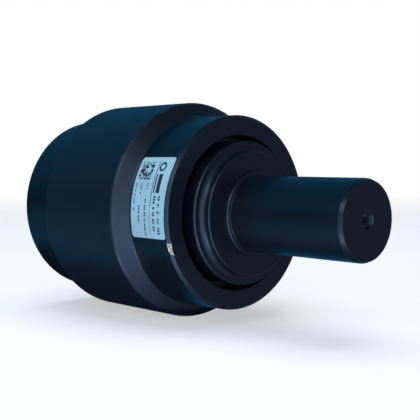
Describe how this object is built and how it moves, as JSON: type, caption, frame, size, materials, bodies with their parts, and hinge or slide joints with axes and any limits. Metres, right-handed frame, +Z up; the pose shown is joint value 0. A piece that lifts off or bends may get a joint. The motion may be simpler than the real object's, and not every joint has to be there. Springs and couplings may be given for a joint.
{
  "type": "carrier roller",
  "caption": "Steel carrier roller: a flanged shell turns on bushes round a cantilever stub shaft, closed by a metal face seal, a seal collar and a snap-ringed end cover.",
  "frame": {"origin": "on the roller's axis, at the middle of the stub that a bracket clamps", "axes": "the roller turns about Y, the stub points along -Y and the rolling shell lies along +Y; +Z is up"},
  "size_m": [0.15, 0.2665, 0.15],
  "materials": {
    "black_paint": "semi-gloss",
    "machined_steel": "satin",
    "seal_iron": "lapped",
    "bolt_steel": "black oxide",
    "bronze": "satin",
    "rubber": "matt",
    "label_paper": "satin"
  },
  "bodies": {
    "shaft_group": {"shaft": "black_paint", "oil_plug": "bolt_steel", "seal_collar": "black_paint", "collar_o_ring": "rubber", "fixed_seal_ring": "seal_iron", "fixed_seal_toric": "rubber", "thrust_plate": "machined_steel", "thrust_bolt_1": "bolt_steel", "thrust_bolt_2": "bolt_steel", "thrust_bolt_3": "bolt_steel", "spring_washer_1": "bolt_steel", "spring_washer_2": "bolt_steel", "spring_washer_3": "bolt_steel"},
    "roller_group": {"roller_shell": "black_paint", "inner_bush": "bronze", "outer_bush": "bronze", "rolling_seal_ring": "seal_iron", "rolling_seal_toric": "rubber", "end_cover": "black_paint", "cover_o_ring": "rubber", "cover_snap_ring": "bolt_steel", "label": "label_paper"}
  },
  "joints": [
    {"name": "roller_spin", "type": "hinge", "parent": "shaft_group", "child": "roller_group", "pos_m": [0, 0, 0], "axis": [0, 1, 0], "continuous": true}
  ]
}
